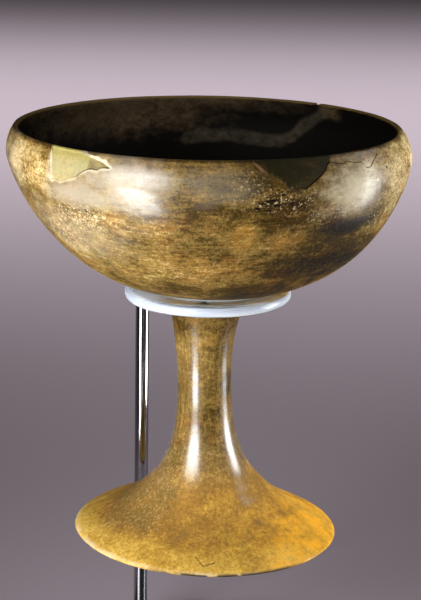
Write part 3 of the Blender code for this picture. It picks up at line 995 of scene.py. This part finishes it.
class CUP_OT_shape_cup(bpy.types.Operator):
    """Makes the hollow clay cup with its worn slip, fills, cracks and scars"""

    bl_idname = "cup_stand.shape_cup"
    bl_label = "Clay cup"
    bl_options = {"REGISTER", "UNDO"}

    def execute(self, context):
        settings = context.scene.cup_stand
        sizes = settings.cup
        rings = read_section()
        crest = max(range(len(rings)), key=lambda i: rings[i].height)
        stand = min(range(len(rings)), key=lambda i: rings[i].height)

        def row_height(i):
            drop = RIM - rings[i].height
            if abs(i - crest) < LIP_RINGS:
                return LIP_ROW
            if crest < i < stand:
                on_stem = STEM_SPAN[0] <= drop <= STEM_SPAN[1]
                return sizes.fine_row * (STEM_COARSER if on_stem else 1.0)
            return sizes.coarse_row

        smooth = finer(rings, row_height)
        bm = bmesh.new()
        run = bm.verts.layers.float.new("run")
        middle = bm.verts.layers.float.new("middle")
        dip = bm.verts.layers.float.new("dip")
        chain = []
        for i, ring in smooth:
            vert = bm.verts.new((0.0, max(ring.radius, 0.0), ring.height))
            vert[run] = (i - crest) if i < crest else (OUTER_RUN if i < stand else UNDER_RUN)
            vert[middle] = ring.middle
            vert[dip] = ring.dip
            chain.append(vert)
        edges = [bm.edges.new(pair) for pair in zip(chain, chain[1:])]
        bmesh.ops.spin(
            bm,
            geom=chain + edges,
            cent=(0, 0, 0),
            axis=(0, 0, 1),
            angle=math.tau,
            steps=sizes.columns,
            use_merge=True,
        )
        bmesh.ops.remove_doubles(bm, verts=bm.verts, dist=WELD)
        bmesh.ops.recalc_face_normals(bm, faces=bm.faces)
        for face in bm.faces:
            lowest = min(vert[run] for vert in face.verts)
            face.material_index = INSIDE if lowest < 0 else (UNDER if lowest > UNDER_RUN / 2 else OUTSIDE)
            face.smooth = True
        self.refine(bm)
        self.relief(bm, run, middle, dip, sizes)
        mesh = bpy.data.meshes.new("pottery_cup_fine")
        bm.to_mesh(mesh)
        bm.free()
        cup = bpy.data.objects.new("clay_cup", mesh)
        context.scene.collection.objects.link(cup)
        for material in (slip_material, inside_material, under_material):
            mesh.materials.append(material(settings.colours))
        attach(cup, BODY)
        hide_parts("pottery_cup")
        return {"FINISHED"}

    def refine(self, bm):
        """Cuts the outer faces finer, in steps, near the fills, the cracks, the scars and the scratch."""
        for near in (5.0, 2.4, 1.2):
            edges = {e for face in bm.faces if self.is_marked(face, near) for e in face.edges}
            bmesh.ops.subdivide_edges(bm, edges=list(edges), cuts=1, use_grid_fill=True)

    def is_marked(self, face, near):
        """Whether an outer face lies within so many millimetres of a mark."""
        at = face.calc_center_median()
        drop = (RIM - at.z) * 1000
        if face.material_index != OUTSIDE or MARKED_DROP < drop < SCRATCH_DROP:
            return False
        if drop > SCRATCH_DROP:
            return edge_distance((at.x * 1000, at.y * 1000), FOOT_SCRATCH, False) < near
        round_mm = math.atan2(at.x, -at.y) * BOWL_MM
        notch = math.hypot(round_mm - math.radians(NOTCH_DEGREES) * BOWL_MM, drop)
        return min(feature_distance(round_mm, drop), notch) < near

    def relief(self, bm, run, middle, dip, sizes):
        """Moves each vertex by its marks and by the cup's wander and dip, and notes the marks."""
        marks = bm.verts.layers.float_color.new("marks")
        bm.normal_update()
        moves = []
        for vert in bm.verts:
            drop = (RIM - vert.co.z) * 1000
            turn = math.atan2(vert.co.x, -vert.co.y)
            move = sizes.wobble * noise.noise(vert.co * 22.0) * (1.0 if drop > 3 else 0.4)
            mark = (0.0, 0.0, 0.0, 0.0)
            if 0 <= vert[run] < UNDER_RUN / 2:
                move += sizes.strokes * stroke_at(vert.co, drop)
                if drop < MARKED_DROP:
                    depth, *mark = bowl_marks(turn * BOWL_MM, drop, sizes)
                    move += depth * ease(drop, 0.2, 1.2)
                elif drop > FOOT_MARKS_DROP:
                    depth, *mark = foot_marks(vert.co, drop, math.degrees(turn))
                    move += depth
            lowered = 0.0
            if drop < 3:
                from_notch = abs(turn - sizes.notch_turn) * BOWL_MM
                lowered = sizes.notch_depth * (1 - ease(from_notch, 0.4, 1.6)) * (1 - ease(drop, 1.5, 3.0))
            moves.append((vert, vert.normal * move - Vector((0, 0, lowered)), mark))
        for vert, move, mark in moves:
            vert.co += move
            vert[marks] = mark
            vert.co.z -= vert[dip] * vert.co.x
            vert.co.x += vert[middle]
            bounded = [min(max(at, low), high) for at, low, high in zip(vert.co, CUP_LOW, CUP_HIGH)]
            vert.co = Vector(bounded)


# ---------------------------------------------------------------- the stand


def finished_piece(context, bm, name, materials, node):
    """Makes the piece's object, which rides the part's body in the place of its solid."""
    mesh = bpy.data.meshes.new(name)
    bm.to_mesh(mesh)
    bm.free()
    piece = bpy.data.objects.new(name, mesh)
    context.scene.collection.objects.link(piece)
    for material in materials:
        mesh.materials.append(material)
    mesh.shade_smooth()
    mesh.set_sharp_from_angle(angle=SHARP_ANGLE)
    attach(piece, BODY)
    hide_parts(node)
    return piece


class CUP_OT_shape_ring(bpy.types.Operator):
    """Makes the clear ring that the bowl rests in, with its frosted edge and its tail"""

    bl_idname = "cup_stand.shape_ring"
    bl_label = "Clear ring"
    bl_options = {"REGISTER", "UNDO"}

    def execute(self, context):
        settings = context.scene.cup_stand
        sizes = settings.stand
        radius = -RING_LOW.y
        centre = Vector((RING_HIGH.x - radius, 0, 0))
        post = (POST_LOW + POST_HIGH) / 2
        half_tail = RING_HIGH.y - post.y
        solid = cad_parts["support_ring"].data
        bore = min(math.hypot(v.co.x - centre.x, v.co.y) for v in solid.vertices)
        reach = math.hypot(post.x - centre.x, post.y)

        mid = (RING_LOW.z + RING_HIGH.z) / 2
        half_thick = (RING_HIGH.z - RING_LOW.z) / 2

        # The upper half is made first, open at the ring's mid plane, and then mirrored.
        bm = bmesh.new()
        bmesh.ops.create_circle(bm, cap_ends=True, segments=sizes.ring_steps, radius=radius)
        self.draw_tail(bm, radius, reach, half_tail, sizes)
        face = bm.faces[:][0]
        self.raise_face(bm, face, 0.0, half_thick - sizes.edge_round)
        self.round_over(bm, face, sizes.edge_round)
        bm.normal_update()
        for rounded in bm.faces:
            rounded.material_index = int(rounded.normal.z < FLAT_TOP)
        outline = face.edges[:]
        bmesh.ops.delete(bm, geom=[face], context="FACES_ONLY")
        top = max(v.co.z for v in bm.verts)
        inner = bore + sizes.bore_round
        circle = bmesh.ops.create_circle(
            bm,
            cap_ends=False,
            segments=sizes.ring_steps,
            radius=inner,
            matrix=Matrix.Translation((0, 0, top)),
        )["verts"]
        loop = list({edge for vert in circle for edge in vert.link_edges})
        bmesh.ops.bridge_loops(bm, edges=outline + loop)
        for i in range(1, BORE_STEPS + 1):
            turned = math.radians(90 * i / BORE_STEPS)
            size = inner - sizes.bore_round * math.sin(turned)
            loop = self.grow(bm, loop, size, top - sizes.bore_round * (1 - math.cos(turned)), 1)
        self.grow(bm, loop, bore, top - half_thick, 0)
        bmesh.ops.translate(bm, verts=bm.verts, vec=(0, 0, half_thick - top))
        bmesh.ops.mirror(bm, geom=bm.verts[:] + bm.edges[:] + bm.faces[:], axis="Z", merge_dist=LOOSE_WELD)
        bmesh.ops.remove_doubles(bm, verts=bm.verts, dist=WELD)
        bmesh.ops.recalc_face_normals(bm, faces=bm.faces)
        towards = math.atan2(post.y, post.x - centre.x)
        bmesh.ops.rotate(bm, verts=bm.verts, cent=(0, 0, 0), matrix=Matrix.Rotation(towards, 3, "Z"))
        bmesh.ops.translate(bm, verts=bm.verts, vec=centre + Vector((0, 0, mid)))
        materials = (clear_material(settings.colours), frosted_material(settings.colours))
        finished_piece(context, bm, "clear_ring", materials, "support_ring")
        return {"FINISHED"}

    def draw_tail(self, bm, radius, reach, half_tail, sizes):
        """Pulls the circle's points near +X out into the tail: a hollow curve, a straight, a round end."""
        fillet = sizes.tail_fillet
        across = half_tail + fillet
        corner = Vector((math.sqrt((radius + fillet) ** 2 - across**2), across, 0))
        root = math.atan2(corner.y, corner.x)
        near = [v for v in bm.verts if abs(math.atan2(v.co.y, v.co.x)) < root]
        near.sort(key=lambda v: -abs(v.co.y))
        hollow = len(near) // 5
        for i, vert in enumerate(near):
            step = i // 2
            side = math.copysign(1, vert.co.y)
            if step < hollow:
                turned = math.pi + root + (math.pi / 2 - root) * step / (hollow - 1)
                place = corner + fillet * Vector((math.cos(turned), math.sin(turned), 0))
            else:
                turned = math.pi / 2 * (1 - (step - hollow) / (len(near) // 2 - hollow))
                place = Vector((reach + half_tail * math.cos(turned), half_tail * math.sin(turned), 0))
            vert.co = Vector((place.x, place.y * side, 0))

    def raise_face(self, bm, face, inwards, up):
        """Insets the face and raises it, with new faces all round it."""
        bmesh.ops.inset_region(
            bm, faces=[face], thickness=inwards, depth=up, use_boundary=True, use_even_offset=True
        )

    def round_over(self, bm, face, size, steps=6):
        """Raises the face along a quarter circle."""
        before = (0.0, 0.0)
        for i in range(1, steps + 1):
            turned = math.radians(90 * i / steps)
            now = (size * (1 - math.cos(turned)), size * math.sin(turned))
            self.raise_face(bm, face, now[0] - before[0], now[1] - before[1])
            before = now

    def grow(self, bm, loop, radius, height, material):
        """Extrudes a round loop of edges to a new radius and height, and returns the new loop."""
        grown = bmesh.ops.extrude_edge_only(bm, edges=loop)["geom"]
        verts = {g for g in grown if isinstance(g, bmesh.types.BMVert)}
        for vert in verts:
            vert.co.xy *= radius / vert.co.xy.length
            vert.co.z = height
        for face in [g for g in grown if isinstance(g, bmesh.types.BMFace)]:
            face.material_index = material
        return [g for g in grown if isinstance(g, bmesh.types.BMEdge) and verts.issuperset(g.verts)]


def turned_bar(low, high, segments, rim):
    """An upright round bar or plate between two corners, with its two rims rounded."""
    bm = bmesh.new()
    radius = (high.x - low.x) / 2
    bmesh.ops.create_cone(
        bm, cap_ends=True, segments=segments, radius1=radius, radius2=radius, depth=high.z - low.z
    )
    bmesh.ops.translate(bm, verts=bm.verts, vec=(low + high) / 2)
    rims = [e for e in bm.edges if e.calc_face_angle() > RIM_ANGLE]
    bmesh.ops.bevel(
        bm,
        geom=rims,
        offset=rim,
        offset_type="OFFSET",
        affect="EDGES",
        segments=4,
        profile=0.5,
        material=-1,
    )
    caps = [f for f in bm.faces if len(f.verts) > 4]
    for share in (0.35, 0.5):
        bmesh.ops.inset_region(bm, faces=caps, thickness=radius * share)
    return bm


class CUP_OT_shape_post(bpy.types.Operator):
    """Makes the polished steel post"""

    bl_idname = "cup_stand.shape_post"
    bl_label = "Steel post"
    bl_options = {"REGISTER", "UNDO"}

    def execute(self, context):
        settings = context.scene.cup_stand
        bm = turned_bar(POST_LOW, POST_HIGH, POST_STEPS, settings.stand.chamfer)
        materials = (post_material(settings.colours),)
        finished_piece(context, bm, "steel_post", materials, "support_post")
        return {"FINISHED"}


class CUP_OT_shape_base(bpy.types.Operator):
    """Makes the round steel base"""

    bl_idname = "cup_stand.shape_base"
    bl_label = "Steel base"
    bl_options = {"REGISTER", "UNDO"}

    def execute(self, context):
        settings = context.scene.cup_stand
        bm = turned_bar(BASE_LOW, BASE_HIGH, BASE_STEPS, settings.stand.base_round)
        materials = (base_material(settings.colours),)
        finished_piece(context, bm, "round_base", materials, "stand_base")
        return {"FINISHED"}


# ---------------------------------------------------------------- the studio


class CUP_OT_set_stage(bpy.types.Operator):
    """Makes the floor, the camera and the soft lights"""

    bl_idname = "cup_stand.set_stage"
    bl_label = "Studio"
    bl_options = {"REGISTER", "UNDO"}

    def execute(self, context):
        settings = context.scene.cup_stand
        self.make_floor(context, settings.colours)
        self.make_camera(context, settings.studio)
        self.make_lights(context, settings.studio)
        return {"FINISHED"}

    def make_floor(self, context, colours):
        bm = bmesh.new()
        bmesh.ops.create_grid(bm, x_segments=2, y_segments=2, size=FLOOR_REACH)
        mesh = bpy.data.meshes.new("floor")
        bm.to_mesh(mesh)
        bm.free()
        mesh.materials.append(floor_material(colours))
        floor = bpy.data.objects.new("floor", mesh)
        context.scene.collection.objects.link(floor)

    def make_camera(self, context, sizes):
        camera = bpy.data.objects.new("camera", bpy.data.cameras.new("camera"))
        camera.data.lens = sizes.lens
        camera.data.sensor_width = FILM_WIDTH
        look = Matrix.Rotation(sizes.pitch, 4, "X") @ Matrix.Rotation(sizes.roll, 4, "Z")
        camera.matrix_world = Matrix.Translation(sizes.eye) @ look
        context.scene.collection.objects.link(camera)
        context.scene.camera = camera

    def make_lights(self, context, sizes):
        bowl, wall, stem, floor = (0, 0, 0.36), (0, 0, 0.29), (0, 0, 0.24), (0, 2.0, 0)
        for panel in (
            ("left_panel", (-38, 0.36, 0.11), (0.12, 0.23), sizes.left_power, bowl, 110),
            ("upper_panel", (-36, 0.60, 0.40), (0.36, 0.56), sizes.upper_power, wall, 70),
            ("right_panel", (93, 0.44, 0.19), (0.17, 0.36), sizes.right_power, stem, 76),
            ("far_panel", (98, 0.44, 0.52), (0.18, 0.24), sizes.far_power, stem, 90),
            ("back_panel", (180, 2.0, 2.0), (4.0, 1.8), sizes.back_power, floor, 80),
        ):
            self.panel(context, *panel)
        world = bpy.data.worlds.new("studio")
        world.use_nodes = True
        background = world.node_tree.nodes["Background"]
        background.inputs["Color"].default_value = SKY_COLOUR
        background.inputs["Strength"].default_value = sizes.sky
        context.scene.world = world
        context.scene.view_settings.view_transform = "Standard"

    def panel(self, context, name, place, size, power, aim, spread):
        """A soft panel: place is its turn round the cup in degrees, its distance out and its height."""
        turn, away, height = place
        data = bpy.data.lights.new(name, "AREA")
        data.shape = "RECTANGLE"
        data.size, data.size_y = size
        data.energy = power
        data.spread = math.radians(spread)
        light = bpy.data.objects.new(name, data)
        turned = math.radians(turn)
        spot = Vector((math.sin(turned) * away, -math.cos(turned) * away, height))
        look = (Vector(aim) - spot).to_track_quat("-Z", "Y").to_matrix().to_4x4()
        light.matrix_world = Matrix.Translation(spot) @ look
        light.visible_camera = False
        context.scene.collection.objects.link(light)


class CUP_PT_sidebar(bpy.types.Panel):
    """Lists the pieces and their sizes"""

    bl_idname = "CUP_PT_sidebar"
    bl_label = "Burnished cup"
    bl_space_type = "VIEW_3D"
    bl_region_type = "UI"
    bl_category = "Cup"

    def draw(self, context):
        settings = context.scene.cup_stand
        for operator in OPERATORS:
            self.layout.operator(operator.bl_idname)
        for group in (settings.cup, settings.stand, settings.studio, settings.colours):
            box = self.layout.box()
            for name in group.bl_rna.properties.keys():
                if name not in ("rna_type", "name"):
                    box.prop(group, name)


OPERATORS = (CUP_OT_set_stage, CUP_OT_shape_cup, CUP_OT_shape_ring, CUP_OT_shape_post, CUP_OT_shape_base)
CLASSES = (CupSizes, Colours, StandSizes, StudioSizes, CupScene, *OPERATORS, CUP_PT_sidebar)


def register():
    for cls in CLASSES:
        bpy.utils.register_class(cls)
    bpy.types.Scene.cup_stand = PointerProperty(type=CupScene)


def unregister():
    del bpy.types.Scene.cup_stand
    for cls in reversed(CLASSES):
        bpy.utils.unregister_class(cls)


def main():
    register()
    bpy.ops.cup_stand.set_stage()
    bpy.ops.cup_stand.shape_cup()
    bpy.ops.cup_stand.shape_ring()
    bpy.ops.cup_stand.shape_post()
    bpy.ops.cup_stand.shape_base()


if __name__ == "__main__":
    main()
